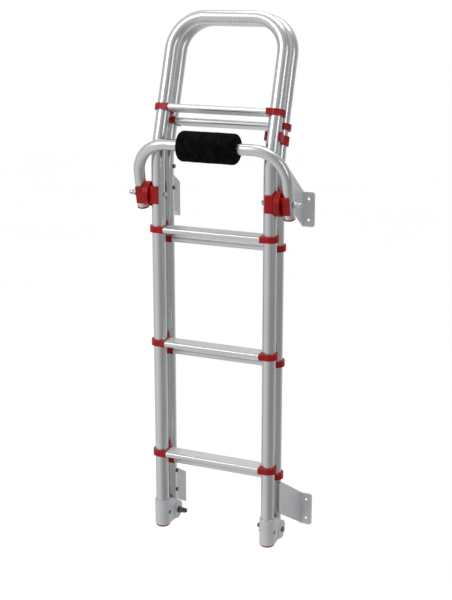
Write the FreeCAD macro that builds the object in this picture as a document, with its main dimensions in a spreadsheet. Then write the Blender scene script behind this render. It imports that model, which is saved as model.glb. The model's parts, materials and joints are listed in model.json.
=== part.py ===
"""Two-section folding tailgate ladder: rear hoop on brackets, front hoop that folds down, stand-off bar.

Work frame: X to the right, Y rearward from the rear rail axis, Z up from the foot tips.
Every node is then moved by (0, rear_rail_y, foot_z) into the row frame, whose origin is the
centre of the lower bracket holes on the flanges' rear faces. Lengths are millimetres.
"""
import FreeCAD
import Part
import os
from math import cos, radians, sin, sqrt, tan
from FreeCAD import Placement, Rotation, Vector

doc = FreeCAD.newDocument("ladder")
sheet = doc.addObject("Spreadsheet::Sheet", "dims")

DIMS = {
    "rail_od": 30.0, "rail_wall": 1.8, "rail_half": 132.0, "rail_gap": 46.3,
    "rear_rail_y": -130.5, "foot_z": -17.0,
    "lean_deg": 19.65, "bend_r": 200.0, "corner_r": 75.0,
    "front_bottom": 8.0, "front_vertex": 897.0, "front_top": 307.0,
    "rear_bottom": 8.5, "rear_vertex": 888.7, "rear_top": 308.0,
    "tread_half": 114.0, "tread_depth": 40.0, "tread_height": 13.0, "tread_wall": 1.8,
    "front_step_a": 189.5, "front_step_b": 459.7, "front_step_c": 725.0, "front_step_d": 100.0,
    "rear_step_a": 157.0, "rear_step_b": 429.0, "rear_step_c": 695.0, "rear_step_d": 72.0,
    "collar_r": 20.0, "collar_height": 13.5, "fit_gap": 0.1,
    "pivot_z": 22.0, "pivot_r": 5.0, "pivot_bore_r": 5.06,
    "socket_r": 18.0, "cheek_in": 15.5, "boss_out": 19.5, "boss_r": 21.0,
    "web_in": 151.5, "sheet_t": 3.0, "flange_out": 181.5, "flange_height": 80.0,
    "hole_x": 167.5, "hole_r": 3.25, "hole_pitch": 48.5, "rail_bolt_y": 3.0,
    "lower_hole_z": 17.0, "lower_rail_z": 97.0, "lower_flange_y": 130.5,
    "upper_hole_z": 761.0, "upper_rail_z": 834.0, "upper_flange_y": 111.5,
    "bar_od": 25.0, "bar_wall": 1.6, "bar_half": 173.0, "bar_corner_r": 70.0,
    "bar_tilt_deg": 12.2, "bar_below": 31.0, "bar_above": 118.0,
    "clamp_y": -46.3, "clamp_z": 803.0, "clamp_bolt_r": 4.0, "clamp_bore_r": 4.07,
    "disc_r": 27.5, "saddle_height": 39.0,
    "foam_r": 34.0, "foam_length": 134.0,
    "clip_up": 42.0, "clip_height": 20.0,
}
for row, (alias, value) in enumerate(DIMS.items(), start=1):
    sheet.set("A%d" % row, alias)
    sheet.set("B%d" % row, str(value))
    sheet.setAlias("B%d" % row, alias)
doc.recompute()

D = DIMS
LEAN = radians(D["lean_deg"])
TILT = radians(D["bar_tilt_deg"])
RAIL_R = D["rail_od"] / 2
FRONT_Y = -D["rail_gap"]
UP_LEAN = Vector(0, sin(LEAN), cos(LEAN))
X_AXIS = Vector(1, 0, 0)
Y_AXIS = Vector(0, 1, 0)
Z_AXIS = Vector(0, 0, 1)
YZ_PLANE = Rotation(Vector(1, 1, 1), 120)
nodes = []


def bind(obj, **expressions):
    """Bind properties to spreadsheet expressions; a double underscore stands for a dot."""
    for prop, text in expressions.items():
        obj.setExpression(prop.replace("__", "."), text)
    return obj


def rounded(points, radii):
    """Closed outline through points, each corner rounded by its radius: list of (kind, points)."""
    count = len(points)
    corners = []
    for i, point in enumerate(points):
        here = Vector(point[0], point[1], 0)
        before = Vector(points[i - 1][0], points[i - 1][1], 0)
        after = Vector(points[(i + 1) % count][0], points[(i + 1) % count][1], 0)
        radius = radii[i] if isinstance(radii, (list, tuple)) else radii
        if radius <= 0:
            corners.append((here, None, here))
            continue
        to_before = (before - here).normalize()
        to_after = (after - here).normalize()
        half = to_before.getAngle(to_after) / 2
        reach = radius / tan(half)
        middle = (to_before + to_after).normalize()
        mid = here + middle * (radius / sin(half) - radius)
        corners.append((here + to_before * reach, mid, here + to_after * reach))
    edges = []
    for i, corner in enumerate(corners):
        if corner[1] is not None:
            edges.append(Part.Arc(corner[0], corner[1], corner[2]))
        start = corner[2]
        end = corners[(i + 1) % count][0]
        if (end - start).Length > 1e-6:
            edges.append(Part.LineSegment(start, end))
    return edges


def sketch(name, outlines, placement=Placement()):
    """One sketch holding the closed outlines."""
    obj = doc.addObject("Sketcher::SketchObject", name)
    for edges in outlines:
        obj.addGeometry(edges, False)
    obj.Placement = placement
    return obj


def extrude(name, base, direction, forward, back=0.0):
    """Solid from a closed sketch; forward may be a number or a spreadsheet expression."""
    obj = doc.addObject("Part::Extrusion", name)
    obj.Base = base
    obj.DirMode = "Custom"
    obj.Dir = direction
    obj.Solid = True
    for prop, value in (("LengthFwd", forward), ("LengthRev", back)):
        if isinstance(value, str):
            obj.setExpression(prop, value)
        else:
            setattr(obj, prop, value)
    return obj


def turned(name, profile, base, direction):
    """Solid of revolution; profile is (radius, along) points or ready edges."""
    edges = profile if not isinstance(profile[0], tuple) else rounded(profile, 0)
    outline = sketch(name + "_profile", [edges])
    obj = doc.addObject("Part::Revolution", name)
    obj.Source = outline
    obj.Axis = Y_AXIS
    obj.Base = Vector(0, 0, 0)
    obj.Angle = 360
    obj.Solid = True
    obj.Placement = Placement(base, Rotation(Y_AXIS, direction))
    return obj


def cylinder(name, radius, x0, x1, y, z):
    """Cylinder along X; radius may be a spreadsheet expression."""
    obj = doc.addObject("Part::Cylinder", name)
    if isinstance(radius, str):
        obj.setExpression("Radius", radius)
    else:
        obj.Radius = radius
    obj.Height = x1 - x0
    obj.Placement = Placement(Vector(x0, y, z), Rotation(Z_AXIS, X_AXIS))
    return obj


def upright(name, radius, height, x, y, z):
    """Cylinder along Z; radius may be a spreadsheet expression."""
    obj = doc.addObject("Part::Cylinder", name)
    if isinstance(radius, str):
        obj.setExpression("Radius", radius)
    else:
        obj.Radius = radius
    obj.Height = height
    obj.Placement = Placement(Vector(x, y, z), Rotation())
    return obj


def box(name, low, high):
    """Box between two corners."""
    obj = doc.addObject("Part::Box", name)
    obj.Length = high[0] - low[0]
    obj.Width = high[1] - low[1]
    obj.Height = high[2] - low[2]
    obj.Placement = Placement(Vector(*low), Rotation())
    return obj


def hexagon(name, flats, x0, x1, y, z):
    """Hexagonal prism along X."""
    obj = doc.addObject("Part::Prism", name)
    obj.Polygon = 6
    obj.Circumradius = flats / sqrt(3)
    obj.Height = x1 - x0
    obj.Placement = Placement(Vector(x0, y, z), Rotation(Z_AXIS, X_AXIS))
    return obj


def fuse(name, parts):
    obj = doc.addObject("Part::MultiFuse", name)
    obj.Shapes = parts
    return obj


def group(name, parts):
    obj = doc.addObject("Part::Compound", name)
    obj.Links = parts
    return obj


def cut(name, base, tools):
    obj = doc.addObject("Part::Cut", name)
    obj.Base = base
    obj.Tool = tools[0] if len(tools) == 1 else group(name + "_tools", tools)
    return obj


def mirrored(name, source):
    """Copy on the other side of the YZ plane."""
    obj = doc.addObject("Part::Mirroring", name)
    obj.Source = source
    obj.Normal = X_AXIS
    obj.Base = Vector(0, 0, 0)
    return obj


def both_sides(name, right):
    return group(name, [right, mirrored(name + "_left_copy", right)])


def node(obj, label, y="0", z="0", rotation=None):
    """Name a finished node and move it into the row frame."""
    obj.Label = label
    if rotation is not None:
        obj.Placement = Placement(Vector(0, 0, 0), rotation)
    bind(obj, Placement__Base__y="dims.rear_rail_y + " + y, Placement__Base__z="dims.foot_z + " + z)
    nodes.append(obj)
    return obj


# ---------------------------------------------------------------- hoops
def hoop_path(name, y, bottom, vertex, top):
    """Centre line of a hoop: two legs, a backward bend in each, and a rounded top."""
    bend = D["bend_r"] * tan(LEAN / 2)
    corner = D["corner_r"]
    sides = []
    for side in (-1, 1):
        x = side * D["rail_half"]
        foot = Vector(x, y, bottom)
        knee = Vector(x, y, vertex)
        bend_start = knee - Z_AXIS * bend
        bend_end = knee + UP_LEAN * bend
        centre = bend_start + Y_AXIS * D["bend_r"]
        bend_mid = centre + Vector(0, -cos(LEAN / 2), sin(LEAN / 2)) * D["bend_r"]
        corner_start = knee + UP_LEAN * (top - corner)
        corner_centre = corner_start - X_AXIS * side * corner
        corner_mid = corner_centre + (X_AXIS * side + UP_LEAN) * (corner * sqrt(0.5))
        corner_end = corner_centre + UP_LEAN * corner
        sides.append([foot, bend_start, bend_mid, bend_end, corner_start, corner_mid, corner_end])
    left, right = sides
    edges = [Part.LineSegment(left[0], left[1]).toShape(),
             Part.Arc(left[1], left[2], left[3]).toShape(),
             Part.LineSegment(left[3], left[4]).toShape(),
             Part.Arc(left[4], left[5], left[6]).toShape(),
             Part.LineSegment(left[6], right[6]).toShape(),
             Part.Arc(right[6], right[5], right[4]).toShape(),
             Part.LineSegment(right[4], right[3]).toShape(),
             Part.Arc(right[3], right[2], right[1]).toShape(),
             Part.LineSegment(right[1], right[0]).toShape()]
    return path_feature(name, edges), left[0], Z_AXIS


def path_feature(name, edges):
    obj = doc.addObject("Part::Feature", name)
    obj.Shape = Part.Wire(edges)
    return obj


def tube(name, path, start, direction, outer, inner):
    """Hollow tube: two sweeps along one centre line, the inner cut from the outer."""
    sweeps = []
    for kind, radius in (("outer", outer), ("inner", inner)):
        ring = doc.addObject("Part::Circle", "%s_%s_ring" % (name, kind))
        ring.setExpression("Radius", radius)
        ring.Placement = Placement(start, Rotation(Z_AXIS, direction))
        sweep = doc.addObject("Part::Sweep", "%s_%s" % (name, kind))
        sweep.Sections = [ring]
        sweep.Spine = (path, ["Edge%d" % (i + 1) for i in range(len(path.Shape.Edges))])
        sweep.Solid = True
        sweep.Frenet = False
        sweeps.append(sweep)
    obj = doc.addObject("Part::Cut", name)
    obj.Base, obj.Tool = sweeps
    return obj


RAIL_OUT = "dims.rail_od / 2"
RAIL_IN = "dims.rail_od / 2 - dims.rail_wall"
PITCH = D["hole_pitch"]
RAIL_BOLTS = [D[row] + step for row in ("lower_rail_z", "upper_rail_z") for step in (-PITCH / 2, PITCH / 2)]

path, start, direction = hoop_path("rear_path", 0, D["rear_bottom"], D["rear_vertex"], D["rear_top"])
raw = tube("rear_tube", path, start, direction, RAIL_OUT, RAIL_IN)
drills = [cylinder("rear_pivot_drill", "dims.pivot_bore_r", -160, 160, 0, D["pivot_z"])]
for i, z in enumerate(RAIL_BOLTS):
    drills.append(cylinder("rear_drill_%d" % i, 3.3, -160, 160, D["rail_bolt_y"], z))
node(cut("rear_hoop", raw, drills), "rear_hoop")

RIVET_Z = 36.0
path, start, direction = hoop_path("front_path", FRONT_Y, D["front_bottom"], D["front_vertex"],
                                   D["front_top"])
raw = tube("front_tube", path, start, direction, RAIL_OUT, RAIL_IN)
drills = [cylinder("front_rivet_drill", 3.1, -160, 160, FRONT_Y, RIVET_Z),
          cylinder("front_clamp_drill", "dims.clamp_bore_r", -160, 160, FRONT_Y, D["clamp_z"])]
node(cut("front_hoop", raw, drills), "front_hoop")


# ---------------------------------------------------------------- treads and their end fittings
def tread_outline():
    """Rounded tread section with fine grip grooves above and below."""
    half_depth = D["tread_depth"] / 2
    half_height = D["tread_height"] / 2
    groove_half, groove_deep = 0.7, 0.6
    centres = [-13.5 + 4.5 * i for i in range(7)]
    points, radii = [(-half_depth, -half_height)], [5.5]
    for centre in centres:
        points += [(centre - groove_half, -half_height), (centre, -half_height + groove_deep),
                   (centre + groove_half, -half_height)]
        radii += [0, 0, 0]
    points += [(half_depth, -half_height), (half_depth, half_height)]
    radii += [5.5, 5.5]
    for centre in reversed(centres):
        points += [(centre + groove_half, half_height), (centre, half_height - groove_deep),
                   (centre - groove_half, half_height)]
        radii += [0, 0, 0]
    points.append((-half_depth, half_height))
    radii.append(5.5)
    return rounded(points, radii)


def cell_outline(side):
    """One of the two hollow cells of a tread section."""
    inner, outer = 0.9, D["tread_depth"] / 2 - D["tread_wall"]
    high = D["tread_height"] / 2 - D["tread_wall"]
    corners = [(side * inner, -high), (side * outer, -high), (side * outer, high), (side * inner, high)]
    return rounded(corners, [0.6, 3.4, 3.4, 0.6])


def tread(name):
    section = sketch(name + "_section", [tread_outline()], Placement(Vector(), YZ_PLANE))
    cells = sketch(name + "_cells", [cell_outline(-1), cell_outline(1)], Placement(Vector(), YZ_PLANE))
    bar = extrude(name + "_bar", section, X_AXIS, "dims.tread_half", "dims.tread_half")
    voids = extrude(name + "_voids", cells, X_AXIS, "dims.tread_half + 2", "dims.tread_half + 2")
    return cut(name, bar, [voids])


def end_fittings(name):
    """Collar round the rail with a flat shoulder and two prongs inside the tread."""
    half = D["collar_height"] / 2
    inboard, rail = D["tread_half"] + 0.05, D["rail_half"]
    reach = D["tread_depth"] / 2
    full_ring = upright(name + "_full_ring", "dims.collar_r", 2 * half, rail, 0, -half)
    flat = box(name + "_flat", (inboard - 20, -reach - 5, -half - 2), (inboard, reach + 5, half + 2))
    ring = cut(name + "_ring", full_ring, [flat])
    shoulder_edges = rounded([(inboard, -reach - 1), (inboard + 3, -reach - 1), (rail + 2, -19.5),
                              (rail + 2, 19.5), (inboard + 3, reach + 1), (inboard, reach + 1)],
                             [1.5, 1.2, 0, 0, 1.2, 1.5])
    shoulder_base = sketch(name + "_shoulder_base", [shoulder_edges], Placement(Vector(0, 0, -half), Rotation()))
    shoulder = extrude(name + "_shoulder", shoulder_base, Z_AXIS, "dims.collar_height")
    prongs = [box(name + "_prong_%d" % i, (inboard - 10, low, -4.2), (inboard + 2, high, 4.2))
              for i, (low, high) in enumerate(((-15.6, -1.5), (1.5, 15.6)))]
    solid = fuse(name + "_solid", [ring, shoulder] + prongs)
    bore = upright(name + "_bore", "dims.rail_od / 2 + dims.fit_gap", 2 * half + 4, rail, 0, -half - 2)
    return both_sides(name, cut(name + "_right", solid, [bore]))


LEAN_BACK = Rotation(X_AXIS, -D["lean_deg"])
for section, rail_y, rows in (("front", "-dims.rail_gap", "abcd"), ("rear", "0", "abcd")):
    for number, row in enumerate(rows, start=1):
        name = "%s_step_%d" % (section, number)
        y, z, turn = rail_y, "dims.%s_step_%s" % (section, row), None
        if row == "d":
            y = "%s + %s * sin(dims.lean_deg * 1deg)" % (rail_y, z)
            z = "dims.%s_vertex + %s * cos(dims.lean_deg * 1deg)" % (section, z)
            turn = LEAN_BACK
        node(tread(name), name, y, z, turn)
        node(end_fittings(name + "_ends"), name + "_ends", y, z, turn)


# ---------------------------------------------------------------- hinge knuckles and feet
def knuckle(name):
    """Cast socket for the front rail with two cheeks that carry the pivot."""
    x, pivot = D["rail_half"], D["pivot_z"]
    socket = upright(name + "_socket", "dims.socket_r", 61, x, FRONT_Y, 7)
    side = rounded([(FRONT_Y, 7), (FRONT_Y, 68), (-30, 66.5), (6, 42.1), (0, 1.0), (-26, 7)],
                   [0, 0, 4, 0, 0, 0])
    plate_base = sketch(name + "_plate_base", [side],
                        Placement(Vector(x - D["socket_r"], 0, 0), YZ_PLANE))
    plate = extrude(name + "_plate", plate_base, X_AXIS, "2 * dims.socket_r")
    eye = cylinder(name + "_eye", "dims.boss_r", x - D["socket_r"], x + D["socket_r"], 0, pivot)
    boss = cylinder(name + "_boss", "dims.boss_r", x - D["boss_out"], x + D["boss_out"], 0, pivot)
    solid = fuse(name + "_solid", [socket, plate, eye, boss])
    slot = box(name + "_slot", (x - D["cheek_in"], -23, -20), (x + D["cheek_in"], 60, 90))
    rail_bore = upright(name + "_rail_bore", "dims.rail_od / 2 + dims.fit_gap", 80, x, FRONT_Y, 0)
    pivot_bore = cylinder(name + "_pivot_bore", "dims.pivot_bore_r", x - 30, x + 30, 0, pivot)
    rivet_bore = cylinder(name + "_rivet_bore", 3.1, x - 30, x + 30, FRONT_Y, RIVET_Z)
    return cut(name, solid, [slot, rail_bore, pivot_bore, rivet_bore])


right_knuckle = knuckle("knuckle_solid")
node(group("knuckle_right", [right_knuckle]), "knuckle_right")
node(mirrored("knuckle_left", right_knuckle), "knuckle_left")

foot_edges = rounded([(0, 0), (12, 0), (17.2, 3.5), (17.2, 6.9), (13.0, 6.9), (13.0, 30), (0, 30)],
                     [0, 5, 3, 1, 0, 1, 0])
foot = turned("foot_plug", foot_edges, Vector(D["rail_half"], FRONT_Y, 0), Z_AXIS)
node(both_sides("foot_plugs", foot), "foot_plugs")


# ---------------------------------------------------------------- fasteners, each made on the right side
def screw(name, head_r, head_t, shank_r, seat, end, y, z):
    """Button-head screw along X: head outboard of the seat, shank running inboard to end."""
    length = seat - end
    rim, crown = (0.6, head_t * 0.5) if head_t > 2 else (0, 0)
    edges = rounded([(0, -length), (shank_r, -length), (shank_r, 0), (head_r, 0), (head_r * 0.55, head_t),
                     (0, head_t)], [0, 0.5, 0, rim, crown, 0])
    return turned(name, edges, Vector(seat, y, z), X_AXIS)


def nut(name, flats, bore_r, x0, x1, y, z):
    """Plain hexagon nut."""
    body = hexagon(name + "_body", flats, x0, x1, y, z)
    return cut(name, body, [cylinder(name + "_bore", bore_r, x0 - 1, x1 + 1, y, z)])


def dome_nut(name, flats, bore_r, seat, thick, dome_r, dome_t, side, y, z):
    """Cap nut: hexagon on the seat and a dome beyond it; side is the way it points along X."""
    low, high = sorted((seat, seat + side * thick))
    body = hexagon(name + "_body", flats, low, high, y, z)
    edges = rounded([(0, 0), (dome_r, 0), (dome_r, dome_t), (0, dome_t)], [0, 0, min(dome_r, dome_t) * 0.85, 0])
    dome = turned(name + "_dome", edges, Vector(seat + side * (thick - 0.5), y, z), X_AXIS * side)
    solid = fuse(name + "_solid", [body, dome])
    low, high = sorted((seat - side, seat + side * (thick + 3)))
    return cut(name, solid, [cylinder(name + "_bore", bore_r, low, high, y, z)])


BOSS_OUT = D["rail_half"] + D["boss_out"]
BOSS_IN = D["rail_half"] - D["boss_out"]
PIVOT_Z = D["pivot_z"]
bolt = screw("pivot_bolt", 7.0, 4.5, D["pivot_r"], BOSS_OUT + 0.1, BOSS_IN - 9, 0, PIVOT_Z)
node(both_sides("pivot_bolts", bolt), "pivot_bolts")
acorn_edges = rounded([(0, 0), (7.6, 0), (7.6, 6), (6.2, 9), (5.6, 22), (0, 22)], [0, 0.8, 1.5, 3, 5, 0])
acorn = turned("pivot_acorn", acorn_edges, Vector(BOSS_IN - 0.1, 0, PIVOT_Z), X_AXIS * -1)
acorn_bore = cylinder("pivot_acorn_bore", 5.05, BOSS_IN - 10, BOSS_IN + 1, 0, PIVOT_Z)
node(both_sides("pivot_nuts", cut("pivot_nut", acorn, [acorn_bore])), "pivot_nuts")

SOCKET_OUT = D["rail_half"] + D["socket_r"]
SOCKET_IN = D["rail_half"] - D["socket_r"]
grip = SOCKET_OUT - SOCKET_IN
rivet_edges = rounded([(0, -1.8), (2.6, -1.8), (4.2, -0.8), (4.2, -0.05), (3.0, -0.05), (3.0, grip + 0.05),
                       (4.2, grip + 0.05), (4.2, grip + 0.4), (3.2, grip + 0.9), (0, grip + 0.9)], 0)
rivet = turned("knuckle_rivet", rivet_edges, Vector(SOCKET_IN, FRONT_Y, RIVET_Z), X_AXIS)
node(both_sides("knuckle_rivets", rivet), "knuckle_rivets")


# ---------------------------------------------------------------- brackets on the vehicle door
def bracket(name, rail_z, hole_z, flange_y, front):
    """Bent sheet bracket: sloping web beside the rail and an outward flange with two holes."""
    web_in, thick = D["web_in"], D["sheet_t"]
    half = D["flange_height"] / 2
    slope = (hole_z - rail_z) / (flange_y - D["rail_bolt_y"])
    front_z = rail_z + slope * (front - D["rail_bolt_y"])
    top = rail_z + 49.5
    shoulder_y = front + (top - front_z - half) / slope
    corners = [(front, front_z - half), (flange_y, hole_z - half), (flange_y, hole_z + half),
               (shoulder_y, top), (front, top)]
    web_base = sketch(name + "_web_base", [rounded(corners, [5, 2, 2, 6, 3])],
                      Placement(Vector(web_in, 0, 0), YZ_PLANE))
    web = extrude(name + "_web", web_base, X_AXIS, "dims.sheet_t")
    outline = rounded([(web_in, hole_z - half), (D["flange_out"], hole_z - half),
                       (D["flange_out"], hole_z + half), (web_in, hole_z + half)], [0, 6, 6, 0])
    flange_base = sketch(name + "_flange_base", [outline],
                         Placement(Vector(0, flange_y, 0), Rotation(X_AXIS, 90)))
    flange = extrude(name + "_flange", flange_base, Y_AXIS * -1, "dims.sheet_t")
    solid = fuse(name + "_solid", [web, flange])
    tools = []
    for i, step in enumerate((-PITCH / 2, PITCH / 2)):
        hole = doc.addObject("Part::Cylinder", "%s_hole_%d" % (name, i))
        bind(hole, Radius="dims.hole_r")
        hole.Height = thick + 4
        hole.Placement = Placement(Vector(D["hole_x"], flange_y + 2, hole_z + step), Rotation(X_AXIS, 90))
        tools.append(hole)
        tools.append(cylinder("%s_bolt_hole_%d" % (name, i), 3.3, 148, 158, D["rail_bolt_y"], rail_z + step))
    return cut(name, solid, tools)


for level, front in (("lower", -26.0), ("upper", -16.0)):
    right = bracket("%s_bracket" % level, D[level + "_rail_z"], D[level + "_hole_z"], D[level + "_flange_y"],
                    front)
    node(group("%s_bracket_right" % level, [right]), "%s_bracket_right" % level)
    node(mirrored("%s_bracket_left" % level, right), "%s_bracket_left" % level)

bolts, nuts, saddles = [], [], []
WEB_OUT = D["web_in"] + D["sheet_t"]
for i, z in enumerate(RAIL_BOLTS):
    y = D["rail_bolt_y"]
    bolts.append(screw("bracket_bolt_%d" % i, 5.4, 0.8, 3.2, WEB_OUT + 0.05, 113.0, y, z))
    nuts.append(nut("bracket_nut_%d" % i, 8.5, 3.25, 113.4, 116.5, y, z))
    pad = cylinder("saddle_pad_%d" % i, 7.0, 138.0, D["web_in"] - 0.05, y, z)
    seat = upright("saddle_seat_%d" % i, RAIL_R + 0.45, 40, D["rail_half"], 0, z - 20)
    saddles.append(cut("saddle_%d" % i, pad, [seat, cylinder("saddle_bore_%d" % i, 3.3, 130, 155, y, z)]))
for label, parts in (("bracket_bolts", bolts), ("bracket_nuts", nuts), ("bracket_saddles", saddles)):
    copies = [mirrored("%s_copy_%d" % (label, i), part) for i, part in enumerate(parts)]
    node(group(label, parts + copies), label)

# ---------------------------------------------------------------- rail clip on the right rails
RAIL_X = D["rail_half"]
GAP = -D["rail_gap"]
JAW_R = RAIL_R + 0.4
clip_height = D["clip_height"]
clip_ring = upright("clip_ring", 19.0, clip_height, RAIL_X, 0, -clip_height / 2)
link = box("clip_link", (RAIL_X - 9, GAP + 12, -clip_height / 2), (RAIL_X + 9, -12, clip_height / 2))
jaw_edges = rounded([(RAIL_X - 19, GAP - 7), (RAIL_X + 19, GAP - 7), (RAIL_X + 19, GAP + 19),
                     (RAIL_X - 19, GAP + 19)], [1.5, 1.5, 12, 12])
jaw_base = sketch("clip_jaw_base", [jaw_edges], Placement(Vector(0, 0, -clip_height / 2), Rotation()))
jaw = extrude("clip_jaw", jaw_base, Z_AXIS, "dims.clip_height")
clip_solid = fuse("clip_solid", [clip_ring, link, jaw])
ring_bore = upright("clip_ring_bore", "dims.rail_od / 2 + dims.fit_gap", 60, RAIL_X, 0, -30)
jaw_bore = upright("clip_jaw_bore", JAW_R, 60, RAIL_X, GAP, -30)
mouth = box("clip_mouth", (RAIL_X - JAW_R, GAP - 30, -30), (RAIL_X + JAW_R, GAP, 30))
clip = cut("rail_clip", clip_solid, [ring_bore, jaw_bore, mouth])
node(clip, "rail_clip", "dims.clip_up * sin(dims.lean_deg * 1deg)",
     "dims.rear_vertex + dims.clip_up * cos(dims.lean_deg * 1deg)", LEAN_BACK)

# ---------------------------------------------------------------- stand-off bar, tilted about its clamp bolts
BAR_R = D["bar_od"] / 2
BAR_X = D["bar_half"]
BAR_TURN = Rotation(X_AXIS, D["bar_tilt_deg"])


def on_bar(obj, label):
    """Name a node made round the clamp bolt axis and tilt it with the bar."""
    return node(obj, label, "dims.clamp_y", "dims.clamp_z", BAR_TURN)


corner = D["bar_corner_r"]
low, high = -D["bar_below"], D["bar_above"]
points = [[Vector(s * BAR_X, 0, low), Vector(s * BAR_X, 0, high - corner),
           Vector(s * (BAR_X - corner * (1 - sqrt(0.5))), 0, high - corner * (1 - sqrt(0.5))),
           Vector(s * (BAR_X - corner), 0, high)] for s in (-1, 1)]
left, right = points
bar_path = path_feature("bar_path", [Part.LineSegment(left[0], left[1]).toShape(),
                                     Part.Arc(left[1], left[2], left[3]).toShape(),
                                     Part.LineSegment(left[3], right[3]).toShape(),
                                     Part.Arc(right[3], right[2], right[1]).toShape(),
                                     Part.LineSegment(right[1], right[0]).toShape()])
raw = tube("bar_tube", bar_path, left[0], Z_AXIS, "dims.bar_od / 2", "dims.bar_od / 2 - dims.bar_wall")
on_bar(cut("standoff_bar", raw, [cylinder("bar_drill", "dims.clamp_bore_r", -200, 200, 0, 0)]), "standoff_bar")

foam_half, foam_r, foam_bore = D["foam_length"] / 2, D["foam_r"], BAR_R + D["fit_gap"]
foam_edges = rounded([(foam_bore, -foam_half), (foam_r, -foam_half), (foam_r, foam_half),
                      (foam_bore, foam_half)], [2, 9, 9, 2])
foam = turned("foam_sleeve", foam_edges, Vector(0, 0, high), X_AXIS)
on_bar(group("foam_roller", [foam]), "foam_roller")

plug_edges = rounded([(0, 12), (BAR_R - D["bar_wall"] - 0.1, 12), (BAR_R - D["bar_wall"] - 0.1, -0.1),
                      (BAR_R + 1, -0.1), (BAR_R + 1, -3.0), (7, -6.0), (0, -6.0)], [0, 1, 0, 0.8, 2, 3, 0])
plug = turned("bar_plug", plug_edges, Vector(BAR_X, 0, low), Z_AXIS)
on_bar(both_sides("bar_end_plugs", plug), "bar_end_plugs")


def clamp_half(name, tube_x, tube_r, wall, disc_x0, disc_x1, side, reach):
    """Channel saddle round one tube with a disc facing the other half; side is where the disc lies."""
    outer = tube_r + wall
    high = D["saddle_height"] / 2
    far = tube_x - side * reach
    near = tube_x + side * outer
    corners = [(far, -outer), (near, -outer), (near, outer), (far, outer)]
    base = sketch(name + "_base", [rounded(corners, [1.2, 11, 11, 1.2])],
                  Placement(Vector(0, 0, -high), Rotation()))
    channel = extrude(name + "_channel", base, Z_AXIS, "dims.saddle_height")
    disc = cylinder(name + "_disc", "dims.disc_r", disc_x0, disc_x1, 0, 0)
    solid = fuse(name + "_solid", [channel, disc])
    bore = upright(name + "_bore", tube_r + 0.1, 80, tube_x, 0, -40)
    mouth_x = sorted((tube_x, tube_x - side * (outer + 5)))
    mouth = box(name + "_mouth", (mouth_x[0], -tube_r - 0.1, -40), (mouth_x[1], tube_r + 0.1, 40))
    hole = cylinder(name + "_hole", "dims.clamp_bore_r", 140, 180, 0, 0)
    return cut(name, solid, [bore, mouth, hole])


rail_half = clamp_half("rail_clamp", RAIL_X, RAIL_R, 4.0, 147.6, 153.8, 1, 7.5)
node(group("rail_clamp_right", [rail_half]), "rail_clamp_right", "dims.clamp_y", "dims.clamp_z")
node(mirrored("rail_clamp_left", rail_half), "rail_clamp_left", "dims.clamp_y", "dims.clamp_z")
bar_half = clamp_half("bar_clamp", BAR_X, BAR_R, 4.0, 154.2, 160.0, -1, 7.5)
on_bar(group("bar_clamp_right", [bar_half]), "bar_clamp_right")
on_bar(mirrored("bar_clamp_left", bar_half), "bar_clamp_left")

BOLT_R = D["clamp_bolt_r"]
HEAD_X = RAIL_X - RAIL_R - 0.1
TIP_X = 196.0
bolt_edges = rounded([(0, 0), (BOLT_R, 0), (BOLT_R, TIP_X - HEAD_X), (6.8, TIP_X - HEAD_X),
                      (4.6, TIP_X - HEAD_X + 4.0), (0, TIP_X - HEAD_X + 4.0)], [0, 0.6, 0, 0.6, 2.0, 0])
clamp_bolt = turned("clamp_bolt", bolt_edges, Vector(TIP_X, 0, 0), X_AXIS * -1)
node(both_sides("clamp_bolts", clamp_bolt), "clamp_bolts", "dims.clamp_y", "dims.clamp_z")
washer = turned("clamp_washer", [(4.1, 0), (7.8, 0), (7.8, 1.6), (4.1, 1.6)],
                Vector(BAR_X + BAR_R + 0.4, 0, 0), X_AXIS)
node(both_sides("clamp_washers", washer), "clamp_washers", "dims.clamp_y", "dims.clamp_z")
cap = dome_nut("clamp_nut", 11.5, 4.05, BAR_X + BAR_R + 2.1, 6.5, 5.3, 10.0, 1, 0, 0)
node(both_sides("clamp_nuts", cap), "clamp_nuts", "dims.clamp_y", "dims.clamp_z")

doc.recompute()

problems = []
for obj in doc.Objects:
    if "Invalid" in obj.State or "Error" in obj.State:
        problems.append("%s is %s" % (obj.Name, obj.State))
os.makedirs("parts", exist_ok=True)
for obj in nodes:
    shape = obj.Shape
    if shape.isNull() or not shape.isValid() or not shape.Solids:
        problems.append("%s has a bad shape" % obj.Label)
        continue
    shape.exportStep("parts/%s.step" % obj.Label)
    print("%-22s solids %2d  volume %10.0f mm3" % (obj.Label, len(shape.Solids), shape.Volume))
if problems:
    raise SystemExit("\n".join(problems))
print(len(nodes), "nodes")
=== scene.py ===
import json
import math

import bmesh
import bpy
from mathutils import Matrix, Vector, noise


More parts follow.
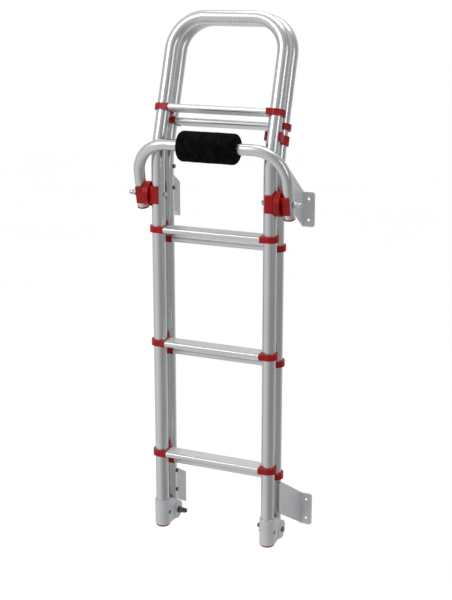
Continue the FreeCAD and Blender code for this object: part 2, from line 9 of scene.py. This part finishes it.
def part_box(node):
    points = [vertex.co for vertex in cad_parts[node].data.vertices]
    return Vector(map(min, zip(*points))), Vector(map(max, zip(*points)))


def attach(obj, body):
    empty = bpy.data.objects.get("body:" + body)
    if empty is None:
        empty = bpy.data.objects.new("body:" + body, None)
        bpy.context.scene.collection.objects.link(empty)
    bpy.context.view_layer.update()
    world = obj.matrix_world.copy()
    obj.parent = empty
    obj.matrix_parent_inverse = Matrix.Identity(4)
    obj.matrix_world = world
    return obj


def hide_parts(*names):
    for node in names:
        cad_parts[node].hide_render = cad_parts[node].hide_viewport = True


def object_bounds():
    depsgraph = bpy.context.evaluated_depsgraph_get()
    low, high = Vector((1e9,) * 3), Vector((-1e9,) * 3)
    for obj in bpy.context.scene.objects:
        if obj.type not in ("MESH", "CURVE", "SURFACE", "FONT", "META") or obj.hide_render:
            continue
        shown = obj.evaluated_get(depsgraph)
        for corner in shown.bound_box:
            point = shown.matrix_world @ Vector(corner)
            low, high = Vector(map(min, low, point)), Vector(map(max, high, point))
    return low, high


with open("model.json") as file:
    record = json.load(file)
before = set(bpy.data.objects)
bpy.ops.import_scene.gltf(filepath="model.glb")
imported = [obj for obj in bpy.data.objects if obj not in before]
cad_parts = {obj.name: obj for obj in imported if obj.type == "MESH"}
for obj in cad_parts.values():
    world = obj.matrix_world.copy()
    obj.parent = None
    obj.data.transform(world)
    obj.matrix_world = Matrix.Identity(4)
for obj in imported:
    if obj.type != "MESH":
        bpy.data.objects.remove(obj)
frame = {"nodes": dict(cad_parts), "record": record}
cad_low, cad_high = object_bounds()
nodes = frame["nodes"]
slots = {entry["node"]: entry["material_slot"] for entry in frame["record"]["subparts"]}

# sockets of a colour Mix node, which have no names of their own to go by
MIX_FACTOR, MIX_A, MIX_B, MIX_RESULT = 0, 6, 7, 2


# ------------------------------------------------------------------ materials
class Nodes:
    """A material's node tree with short calls for the nodes used here."""

    def __init__(self, name):
        self.material = bpy.data.materials.new(name)
        self.material.use_nodes = True
        self.tree = self.material.node_tree
        self.shader = self.tree.nodes["Principled BSDF"]
        self.point = self.add("ShaderNodeTexCoord").outputs["Object"]

    def add(self, kind, **values):
        node = self.tree.nodes.new(kind)
        for key, value in values.items():
            setattr(node, key, value)
        return node

    def link(self, source, target):
        self.tree.links.new(source, target)

    def scaled(self, scale):
        mapping = self.add("ShaderNodeMapping")
        mapping.inputs["Scale"].default_value = scale
        self.link(self.point, mapping.inputs["Vector"])
        return mapping.outputs["Vector"]

    def noise(self, scale, stretch=(1, 1, 1), detail=4.0, rough=0.55):
        tex = self.add("ShaderNodeTexNoise")
        tex.inputs["Scale"].default_value = scale
        tex.inputs["Detail"].default_value = detail
        tex.inputs["Roughness"].default_value = rough
        self.link(self.scaled(stretch), tex.inputs["Vector"])
        return tex.outputs["Fac"]

    def cells(self, scale):
        tex = self.add("ShaderNodeTexVoronoi")
        tex.inputs["Scale"].default_value = scale
        self.link(self.point, tex.inputs["Vector"])
        return tex.outputs["Distance"]

    def ramp(self, source, stops):
        """Colour or grey ramp: stops are (position, value or (r, g, b))."""
        node = self.add("ShaderNodeValToRGB")
        ramp = node.color_ramp
        while len(ramp.elements) < len(stops):
            ramp.elements.new(0.5)
        for element, (position, value) in zip(ramp.elements, stops):
            element.position = position
            rgb = value if isinstance(value, tuple) else (value, value, value)
            element.color = (*rgb, 1)
        self.link(source, node.inputs["Fac"])
        return node.outputs["Color"]

    def span(self, source, low, high):
        """Map a 0 to 1 value to a range."""
        node = self.add("ShaderNodeMapRange")
        node.inputs["To Min"].default_value = low
        node.inputs["To Max"].default_value = high
        self.link(source, node.inputs["Value"])
        return node.outputs["Result"]

    def mix(self, a, b, factor):
        node = self.add("ShaderNodeMix", data_type="RGBA")
        self.link(a, node.inputs[MIX_A])
        self.link(b, node.inputs[MIX_B])
        if isinstance(factor, float):
            node.inputs[MIX_FACTOR].default_value = factor
        else:
            self.link(factor, node.inputs[MIX_FACTOR])
        return node.outputs[MIX_RESULT]

    def bump(self, heights):
        """Stack bumps: each is (height, strength, distance in metres)."""
        last = None
        for height, strength, distance in heights:
            node = self.add("ShaderNodeBump")
            node.inputs["Strength"].default_value = strength
            node.inputs["Distance"].default_value = distance
            self.link(height, node.inputs["Height"])
            if last is not None:
                self.link(last, node.inputs["Normal"])
            last = node.outputs["Normal"]
        self.link(last, self.shader.inputs["Normal"])

    def finish(self, colour, rough, **fixed):
        self.link(colour, self.shader.inputs["Base Color"])
        self.link(rough, self.shader.inputs["Roughness"])
        for key, value in fixed.items():
            self.shader.inputs[key.replace("_", " ")].default_value = value
        return self.material


def satin_tube():
    """Anodised drawn tube: fine lengthwise die lines, soft cloudy sheen, a few handling marks."""
    n = Nodes("satin_tube")
    lines = n.noise(900, (1, 1, 0.012), 3)
    clouds = n.noise(9, (1, 1, 0.35), 5)
    marks = n.ramp(n.noise(60, (1, 1, 0.3), 8, 0.7), [(0.66, 0.0), (0.74, 1.0)])
    base = n.ramp(clouds, [(0.3, (0.64, 0.645, 0.655)), (0.7, (0.76, 0.765, 0.77))])
    worn = n.ramp(lines, [(0.3, (0.66, 0.665, 0.675)), (0.7, (0.83, 0.833, 0.838))])
    colour = n.mix(base, worn, 0.35)
    rough = n.span(n.mix(clouds, marks, 0.15), 0.22, 0.35)
    n.bump([(lines, 0.10, 0.0002), (clouds, 0.05, 0.0008)])
    return n.finish(colour, rough, Metallic=1.0)


def tread_metal():
    """Extruded tread: fine lines along its length and slightly worn grips."""
    n = Nodes("tread_metal")
    lines = n.noise(850, (0.012, 1, 1), 3)
    grit = n.noise(420, (0.5, 1, 1), 6, 0.65)
    clouds = n.noise(14, (0.4, 1, 1), 5)
    base = n.ramp(clouds, [(0.3, (0.68, 0.69, 0.695)), (0.7, (0.80, 0.806, 0.81))])
    colour = n.mix(base, n.ramp(lines, [(0.3, 0.64), (0.7, 0.84)]), 0.4)
    rough = n.span(n.mix(clouds, grit, 0.4), 0.30, 0.46)
    n.bump([(lines, 0.14, 0.0002), (grit, 0.08, 0.0002)])
    return n.finish(colour, rough, Metallic=1.0)


def red_plastic():
    """Moulded red nylon: faint flow marks, fine texture, a few paler scuffs."""
    n = Nodes("red_plastic")
    flow = n.noise(55, (1, 1, 0.5), 5)
    grain = n.noise(1500, (1, 1, 1), 2)
    scuff = n.ramp(n.noise(160, (1, 0.4, 1), 8, 0.75), [(0.64, 0.0), (0.80, 1.0)])
    base = n.ramp(flow, [(0.25, (0.29, 0.003, 0.002)), (0.6, (0.45, 0.005, 0.003)),
                         (0.85, (0.54, 0.009, 0.005))])
    pale = n.ramp(grain, [(0.0, (0.48, 0.035, 0.025)), (1.0, (0.54, 0.06, 0.05))])
    colour = n.mix(base, pale, n.span(scuff, 0.0, 0.25))
    rough = n.span(n.mix(flow, scuff, 0.3), 0.30, 0.52)
    n.bump([(flow, 0.12, 0.0008), (grain, 0.10, 0.00015)])
    return n.finish(colour, rough, Specular_IOR_Level=0.28)


def coated_grey(name, dark, light, grain_scale, depth):
    """Grey coated metal with the coat's fine orange-peel skin."""
    n = Nodes(name)
    peel = n.noise(grain_scale, (1, 1, 1), 3)
    clouds = n.noise(20, (1, 1, 1), 6)
    specks = n.ramp(n.cells(700), [(0.05, 1.0), (0.16, 0.0)])
    base = n.ramp(clouds, [(0.3, dark), (0.7, light)])
    colour = n.mix(base, n.ramp(peel, [(0.3, dark), (0.7, light)]), 0.3)
    rough = n.span(n.mix(clouds, specks, 0.25), 0.36, 0.55)
    n.bump([(peel, 0.22, depth), (specks, 0.08, 0.0001)])
    return n.finish(colour, rough, Metallic=0.25)


def zinc_steel(name, dark, middle, light):
    """Plated fasteners with cloudy passivation and fine turning marks."""
    n = Nodes(name)
    clouds = n.noise(130, (1, 1, 1), 5)
    rings = n.noise(900, (0.1, 1, 1), 3)
    colour = n.ramp(clouds, [(0.3, dark), (0.55, middle), (0.8, light)])
    rough = n.span(clouds, 0.18, 0.38)
    n.bump([(rings, 0.15, 0.0002)])
    return n.finish(colour, rough, Metallic=1.0)


def black_foam():
    """Closed-cell foam: matt, mottled, open pores at the cut skin."""
    n = Nodes("black_foam")
    pores = n.cells(620)
    fine = n.noise(1100, (1, 1, 1), 4, 0.7)
    patches = n.noise(70, (1, 1, 1), 7, 0.65)
    base = n.ramp(patches, [(0.34, (0.0006, 0.0006, 0.0007)), (0.52, (0.005, 0.005, 0.0052)),
                            (0.72, (0.020, 0.020, 0.021))])
    colour = n.mix(base, n.ramp(fine, [(0.4, 0.001), (0.8, 0.016)]), 0.35)
    rough = n.span(patches, 0.72, 0.95)
    n.bump([(patches, 0.4, 0.0012), (pores, 0.55, 0.0007), (fine, 0.35, 0.0004)])
    return n.finish(colour, rough, Specular_IOR_Level=0.03)


finishes = {
    "satin_tube": satin_tube(),
    "tread": tread_metal(),
    "red_plastic": red_plastic(),
    "cast_grey": coated_grey("cast_grey", (0.67, 0.68, 0.69), (0.75, 0.76, 0.77), 520, 0.0005),
    "bracket_sheet": coated_grey("bracket_sheet", (0.67, 0.68, 0.69), (0.74, 0.75, 0.76),
                                 900, 0.0002),
    "zinc_steel": zinc_steel("zinc_steel", (0.42, 0.46, 0.53), (0.60, 0.63, 0.68),
                             (0.66, 0.66, 0.64)),
    "dark_steel": zinc_steel("dark_steel", (0.07, 0.08, 0.10), (0.13, 0.14, 0.17),
                             (0.20, 0.20, 0.20)),
    "foam": black_foam(),
}
for name, obj in nodes.items():
    obj.data.materials.clear()
    obj.data.materials.append(finishes[slots[name]])


# ------------------------------------------------------------------ foam roller
def foam_mesh():
    """Sleeve turned about X with soft shoulders, a slightly uneven skin and cut ends."""
    low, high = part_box("foam_roller")
    centre = (Vector(low) + Vector(high)) / 2
    half = (high[0] - low[0]) / 2
    radius = (high[2] - low[2]) / 2
    bore = 0.01265  # clears the 25 mm bar
    shoulder = 0.0095
    profile = [(bore, -half + 0.010), (bore, -half + 0.002), (bore + 0.002, -half + 0.0003)]
    face_inner, face_outer, face_rings = bore + 0.004, radius - 0.010, 6
    for i in range(face_rings):
        r = face_inner + (face_outer - face_inner) * i / (face_rings - 1)
        profile.append((r, -half + 0.0002))
    shoulder_rings = 8
    for i in range(1, shoulder_rings + 1):
        angle = math.radians(90 * i / shoulder_rings)
        profile.append((radius - shoulder + shoulder * math.sin(angle),
                        -half + shoulder * (1 - math.cos(angle))))
    end_points = list(profile)
    straight_steps = 44
    for i in range(1, straight_steps):
        along = (2 * half - 2 * shoulder) * i / straight_steps
        profile.append((radius, -half + shoulder + along))
    profile += [(r, -x) for r, x in reversed(end_points)]
    around = 112
    bm = bmesh.new()
    rings = []
    for r, x in profile:
        ring = []
        for k in range(around):
            a = 2 * math.pi * k / around
            point = Vector((x, math.cos(a) * r, math.sin(a) * r))
            if r > bore + 0.003:
                wave = noise.noise(point * 45) * 0.0005 + noise.noise(point * 260) * 0.00035
                sag = 0.0004 * math.sin(3 * a + 1.3) * math.cos(9 * x)
                outward = Vector((0, math.cos(a), math.sin(a)))
                point = point + outward * (wave + sag - 0.0006)
            ring.append(bm.verts.new(point + centre))
        rings.append(ring)
    for first, second in zip(rings, rings[1:] + rings[:1]):
        for k in range(around):
            following = (k + 1) % around
            bm.faces.new((first[k], second[k], second[following], first[following]))
    bmesh.ops.recalc_face_normals(bm, faces=bm.faces)
    mesh = bpy.data.meshes.new("foam_sleeve")
    bm.to_mesh(mesh)
    bm.free()
    for face in mesh.polygons:
        face.use_smooth = True
    mesh.materials.append(finishes["foam"])
    obj = bpy.data.objects.new("foam_sleeve", mesh)
    bpy.context.scene.collection.objects.link(obj)
    return obj


foam = foam_mesh()
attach(foam, "standoff_bar_body")
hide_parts("foam_roller")


# ------------------------------------------------------------------ floor, light and camera
FLOOR_RADIUS = 150
FLOOR_DROP = 1.25  # below the lower section when it hangs unfolded
DARK_SIDE = (0.95, -0.31, 0.0)
SHADES = ((0.0, 0.56), (0.18, 0.76), (0.5, 0.66), (0.75, 0.47), (0.9, 0.31), (1.0, 0.29))


def floor():
    """White floor for the camera only; the surroundings light the metal, from below as well."""
    n = Nodes("studio_floor")
    soft = n.noise(0.8, (1, 1, 1), 3)
    colour = n.ramp(soft, [(0.2, 0.24), (0.8, 0.26)])
    rough = n.span(soft, 0.85, 0.95)
    material = n.finish(colour, rough, Specular_IOR_Level=0.05, Emission_Color=(1, 1, 1, 1),
                        Emission_Strength=0.84)
    bm = bmesh.new()
    bmesh.ops.create_circle(bm, cap_ends=True, segments=96, radius=FLOOR_RADIUS)
    mesh = bpy.data.meshes.new("studio_floor")
    bm.to_mesh(mesh)
    bm.free()
    mesh.materials.append(material)
    obj = bpy.data.objects.new("studio_floor", mesh)
    obj.location.z = cad_low.z - FLOOR_DROP
    obj.visible_glossy = False
    obj.visible_diffuse = False
    bpy.context.scene.collection.objects.link(obj)


def area_light(name, place, target, size, size_y, power):
    data = bpy.data.lights.new(name, "AREA")
    data.shape = "RECTANGLE"
    data.size, data.size_y, data.energy = size, size_y, power
    obj = bpy.data.objects.new(name, data)
    obj.location = place
    obj.rotation_euler = (Vector(target) - Vector(place)).to_track_quat("-Z", "Y").to_euler()
    bpy.context.scene.collection.objects.link(obj)


def surroundings():
    """White to the camera; light and reflections fall off towards DARK_SIDE as SHADES says."""
    world = bpy.data.worlds.new("studio")
    bpy.context.scene.world = world
    world.use_nodes = True
    tree = world.node_tree
    back = tree.nodes["Background"]
    coord = tree.nodes.new("ShaderNodeTexCoord")
    along = tree.nodes.new("ShaderNodeVectorMath")
    along.operation = "DOT_PRODUCT"
    along.inputs[1].default_value = DARK_SIDE
    tree.links.new(coord.outputs["Generated"], along.inputs[0])
    spread = tree.nodes.new("ShaderNodeMapRange")
    spread.inputs["From Min"].default_value = -1
    spread.inputs["From Max"].default_value = 1
    tree.links.new(along.outputs["Value"], spread.inputs["Value"])
    ramp = tree.nodes.new("ShaderNodeValToRGB")
    while len(ramp.color_ramp.elements) < len(SHADES):
        ramp.color_ramp.elements.new(0.5)
    for element, (position, value) in zip(ramp.color_ramp.elements, SHADES):
        element.position = position
        element.color = (value, value, value * 1.01, 1)
    tree.links.new(spread.outputs["Result"], ramp.inputs["Fac"])
    path = tree.nodes.new("ShaderNodeLightPath")
    mix = tree.nodes.new("ShaderNodeMix")
    mix.data_type = "RGBA"
    mix.inputs[MIX_B].default_value = (0.95, 0.95, 0.95, 1)
    tree.links.new(ramp.outputs["Color"], mix.inputs[MIX_A])
    tree.links.new(path.outputs["Is Camera Ray"], mix.inputs[MIX_FACTOR])
    tree.links.new(mix.outputs[MIX_RESULT], back.inputs["Color"])
    back.inputs["Strength"].default_value = 1.0


floor()
surroundings()
middle = (0, -0.15, 0.6)
area_light("key", (-1.6, -2.2, 2.6), middle, 0.9, 1.3, 20)
area_light("side", (2.4, -0.9, 1.5), middle, 0.5, 1.8, 7)
area_light("top", (0.2, 0.4, 3.0), middle, 1.8, 1.4, 19)

scene = bpy.context.scene
scene.view_settings.view_transform = "Standard"
scene.view_settings.look = "None"
camera_data = bpy.data.cameras.new("camera")
camera = bpy.data.objects.new("camera", camera_data)
scene.collection.objects.link(camera)
scene.camera = camera
camera_dips, camera_turns = 13.64, 22.28
camera.location = (0.9476, -2.4167, 1.2831)
camera.rotation_euler = (math.radians(90 - camera_dips), 0, math.radians(camera_turns))
camera_data.lens = 68.42
camera_data.sensor_width = 36
camera_data.shift_y = -0.1
